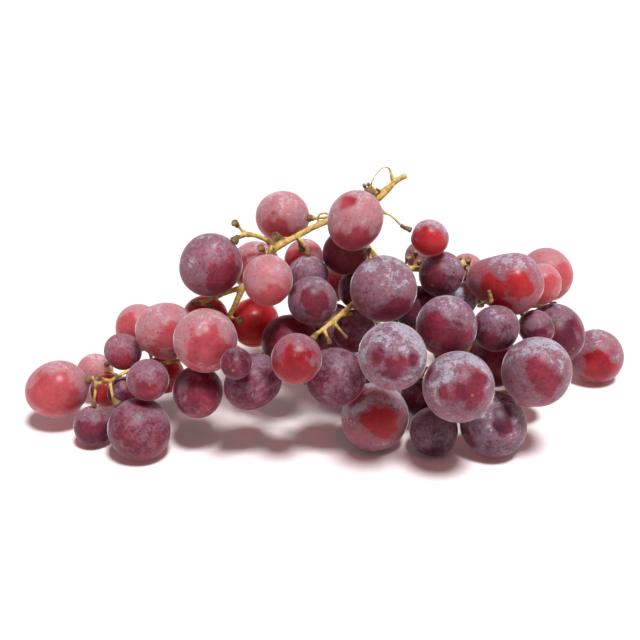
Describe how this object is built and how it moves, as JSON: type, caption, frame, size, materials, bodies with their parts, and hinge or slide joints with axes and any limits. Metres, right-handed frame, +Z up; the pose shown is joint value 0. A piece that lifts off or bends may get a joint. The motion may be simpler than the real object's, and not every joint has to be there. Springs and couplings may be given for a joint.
{
  "type": "bunch of grapes",
  "caption": "Loose bunch of large round red table grapes on one branching woody stalk, lying on its side.",
  "frame": {"origin": "under the middle of the bunch, on the surface that it lies on", "axes": "+Z up, +X to the right along the bunch's length, towards the end with the large dark grapes, +Y away from the viewer of the picture"},
  "size_m": [0.244, 0.107, 0.0954],
  "materials": {
    "grape_rose": "thin pale skin over pink flesh, with a light waxy bloom",
    "grape_red": "glossy clear red skin, bloom rubbed off in places",
    "grape_purple": "purple-red skin under a patchy grey-violet bloom",
    "grape_dark": "dark violet skin under a bluish bloom",
    "stalk": "matt yellow-green stalk, brown at the nodes and warty ends"
  },
  "bodies": {
    "root": {"stalk": "stalk", "grape_01": "grape_rose", "grape_02": "grape_purple", "grape_03": "grape_rose", "grape_04": "grape_rose", "grape_05": "grape_rose", "grape_06": "grape_dark", "grape_07": "grape_purple", "grape_08": "grape_rose", "grape_09": "grape_dark", "grape_10": "grape_dark", "grape_11": "grape_purple", "grape_12": "grape_rose", "grape_13": "grape_red", "grape_14": "grape_red", "grape_15": "grape_rose", "grape_16": "grape_rose", "grape_17": "grape_rose", "grape_18": "grape_purple", "grape_19": "grape_purple", "grape_20": "grape_rose", "grape_21": "grape_rose", "grape_22": "grape_red", "grape_23": "grape_dark", "grape_24": "grape_purple", "grape_25": "grape_dark", "grape_26": "grape_purple", "grape_27": "grape_purple", "grape_28": "grape_purple", "grape_29": "grape_red", "grape_30": "grape_purple", "grape_31": "grape_purple", "grape_32": "grape_dark", "grape_33": "grape_purple", "grape_34": "grape_red", "grape_35": "grape_dark", "grape_36": "grape_purple", "grape_37": "grape_dark", "grape_38": "grape_purple", "grape_39": "grape_dark", "grape_40": "grape_purple", "grape_41": "grape_purple", "grape_42": "grape_purple", "grape_43": "grape_red", "grape_44": "grape_red", "grape_45": "grape_rose", "grape_46": "grape_rose", "grape_47": "grape_red", "grape_48": "grape_dark", "grape_49": "grape_rose", "grape_50": "grape_dark", "grape_51": "grape_red", "grape_52": "grape_dark", "grape_53": "grape_dark", "grape_54": "grape_dark", "grape_55": "grape_dark", "grape_56": "grape_dark", "grape_57": "grape_dark", "grape_58": "grape_red", "grape_59": "grape_purple"}
  },
  "joints": []
}
